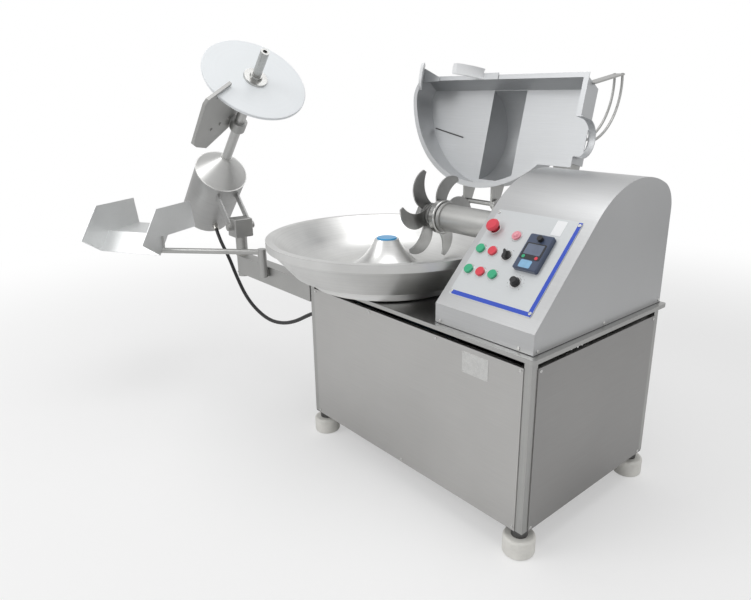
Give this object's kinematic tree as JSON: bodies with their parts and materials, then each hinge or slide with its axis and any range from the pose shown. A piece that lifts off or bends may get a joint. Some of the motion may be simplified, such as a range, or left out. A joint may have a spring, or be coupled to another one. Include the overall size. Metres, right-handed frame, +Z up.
{
  "type": "bowl cutter",
  "caption": "Floor-standing bowl cutter with a turning bowl, sickle knives on a horizontal shaft, a hinged lid, a swinging disc unloader, a chute and a sloped control hood.",
  "frame": {"origin": "on the floor, under the centre of the front left foot", "axes": "+X to the right along the cabinet's front, +Y to the back, +Z up"},
  "size_m": [2.1353, 1.6023, 1.5374],
  "materials": {
    "stainless_sheet": "brushed",
    "stainless_tube": "brushed",
    "bowl_steel": "turned",
    "machined_steel": "machined",
    "knife_steel": "ground",
    "white_nylon": "satin",
    "white_polyethylene": "satin",
    "blue_plastic": "glossy",
    "black_plastic": "satin",
    "green_plastic": "glossy",
    "red_plastic": "glossy",
    "lamp_lens": "glossy",
    "bezel_metal": "satin",
    "motor_paint": "satin",
    "casting": "machined",
    "bearing_steel": "ground",
    "belt_rubber": "matte",
    "cable_rubber": "matte"
  },
  "bodies": {
    "cabinet": {"cabinet_frame": "stainless_tube", "floor_pan": "stainless_sheet", "front_panel": "stainless_sheet", "rear_panel": "stainless_sheet", "right_panel": "stainless_sheet", "left_panel": "stainless_sheet", "table_top": "stainless_sheet", "foot_pads": "white_nylon", "foot_stems": "machined_steel", "hood": "stainless_sheet", "control_plate": "stainless_sheet", "button_bezels": "bezel_metal", "switch_blocks": "black_plastic", "signal_lamp": "lamp_lens", "drive_keypad": "black_plastic", "cover_screws": "machined_steel", "bowl_bearing_housing": "casting", "bowl_gear_motor": "motor_paint", "arm_tube": "stainless_tube", "shaft_bearings": "bearing_steel", "main_motor": "motor_paint", "v_belts": "belt_rubber", "lid_hinge_stand": "stainless_tube", "unloader_beam": "stainless_tube", "cabinet_gland": "black_plastic", "unloader_cable": "cable_rubber"},
    "bowl_rotor": {"bowl": "bowl_steel", "bowl_cap": "blue_plastic", "bowl_spindle": "machined_steel"},
    "knife_rotor": {"knife_shaft": "machined_steel", "knives": "knife_steel", "knife_spacers_and_nut": "machined_steel", "knife_pulley": "casting"},
    "motor_rotor": {"motor_pulley": "casting"},
    "lid": {"lid_shell": "stainless_sheet", "lid_handle": "stainless_tube", "lid_hinge_arms": "stainless_tube", "lid_scrapers": "white_polyethylene", "lid_scraper_brackets": "stainless_sheet"},
    "swivel": {"swivel_block": "machined_steel"},
    "unloader_arm": {"unloader_links": "stainless_tube", "unloader_casing": "stainless_sheet", "shaft_cone_and_tube": "stainless_tube", "disc_gear_motor": "motor_paint", "casing_gland": "bezel_metal", "scraper_blade": "stainless_sheet", "scraper_carrier": "stainless_sheet"},
    "disc_rotor": {"disc_shaft_and_hub": "machined_steel", "unloading_disc": "white_polyethylene"},
    "chute": {"chute_arm": "stainless_tube", "chute_tray": "stainless_sheet"},
    "green_button_1": {"green_button_1": "green_plastic"},
    "green_button_2": {"green_button_2": "green_plastic"},
    "green_button_3": {"green_button_3": "green_plastic"},
    "red_button_1": {"red_button_1": "red_plastic"},
    "red_button_2": {"red_button_2": "red_plastic"},
    "emergency_stop": {"emergency_stop": "red_plastic"},
    "selector_knob": {"selector_knob": "black_plastic"},
    "speed_knob": {"speed_knob": "black_plastic"},
    "keypad_dial": {"keypad_dial": "black_plastic"}
  },
  "joints": [
    {"name": "bowl_spin", "type": "hinge", "parent": "cabinet", "child": "bowl_rotor", "pos_m": [0.194, 0.17, 0.73], "axis": [0, 0, 1], "continuous": true},
    {"name": "knife_spin", "type": "hinge", "parent": "cabinet", "child": "knife_rotor", "pos_m": [0.566, 0.386, 0.882], "axis": [1, 0, 0], "continuous": true},
    {"name": "motor_spin", "type": "hinge", "parent": "cabinet", "child": "motor_rotor", "pos_m": [0.866, 0.386, 0.26], "axis": [1, 0, 0], "continuous": true},
    {"name": "lid_hinge", "type": "hinge", "parent": "cabinet", "child": "lid", "pos_m": [0.366, 0.682, 0.898], "axis": [1, 0, 0], "range_deg": [0, 103]},
    {"name": "unloader_swing", "type": "hinge", "parent": "cabinet", "child": "swivel", "pos_m": [-0.619, -0.006, 0.768], "axis": [0, 0, 1], "range_deg": [-50, 0], "deforming": ["unloader_cable"]},
    {"name": "unloader_tilt", "type": "hinge", "parent": "swivel", "child": "unloader_arm", "pos_m": [-0.619, -0.006, 0.768], "axis": [0.0523, 0.9986, 0], "range_deg": [0, 50.8], "deforming": ["unloader_cable"]},
    {"name": "disc_spin", "type": "hinge", "parent": "unloader_arm", "child": "disc_rotor", "pos_m": [-0.80846, 0.00393, 0.96514], "axis": [0.7196, -0.0377, 0.6934], "continuous": true},
    {"name": "chute_swing", "type": "hinge", "parent": "cabinet", "child": "chute", "pos_m": [-0.352, -0.054, 0.69], "axis": [0, 0, 1], "range_deg": [0, 20]},
    {"name": "green_button_1_press", "type": "slide", "parent": "cabinet", "child": "green_button_1", "axis": [0, 0.7157, -0.6984], "range_m": [0, 0.004], "stiffness_N_per_m": 400, "springref_m": -0.002},
    {"name": "green_button_2_press", "type": "slide", "parent": "cabinet", "child": "green_button_2", "axis": [0, 0.7157, -0.6984], "range_m": [0, 0.004], "stiffness_N_per_m": 400, "springref_m": -0.002},
    {"name": "green_button_3_press", "type": "slide", "parent": "cabinet", "child": "green_button_3", "axis": [0, 0.7157, -0.6984], "range_m": [0, 0.004], "stiffness_N_per_m": 400, "springref_m": -0.002},
    {"name": "red_button_1_press", "type": "slide", "parent": "cabinet", "child": "red_button_1", "axis": [0, 0.7157, -0.6984], "range_m": [0, 0.004], "stiffness_N_per_m": 400, "springref_m": -0.002},
    {"name": "red_button_2_press", "type": "slide", "parent": "cabinet", "child": "red_button_2", "axis": [0, 0.7157, -0.6984], "range_m": [0, 0.004], "stiffness_N_per_m": 400, "springref_m": -0.002},
    {"name": "emergency_stop_press", "type": "slide", "parent": "cabinet", "child": "emergency_stop", "axis": [0, 0.7157, -0.6984], "range_m": [0, 0.005], "stiffness_N_per_m": 500, "springref_m": -0.002},
    {"name": "selector_turn", "type": "hinge", "parent": "cabinet", "child": "selector_knob", "pos_m": [0.8057, 0.12177, 0.86869], "axis": [0, -0.7157, 0.6984], "range_deg": [-60, 0]},
    {"name": "speed_knob_turn", "type": "hinge", "parent": "cabinet", "child": "speed_knob", "pos_m": [0.8857, 0.06729, 0.81287], "axis": [0, -0.7157, 0.6984], "range_deg": [-135, 135]},
    {"name": "keypad_dial_turn", "type": "hinge", "parent": "cabinet", "child": "keypad_dial", "pos_m": [0.8997, 0.16786, 0.91593], "axis": [0, -0.7157, 0.6984], "range_deg": [-135, 135]}
  ],
  "couplings": [
    {"joint": "motor_spin", "follows": "knife_spin", "ratio": 0.8}
  ]
}
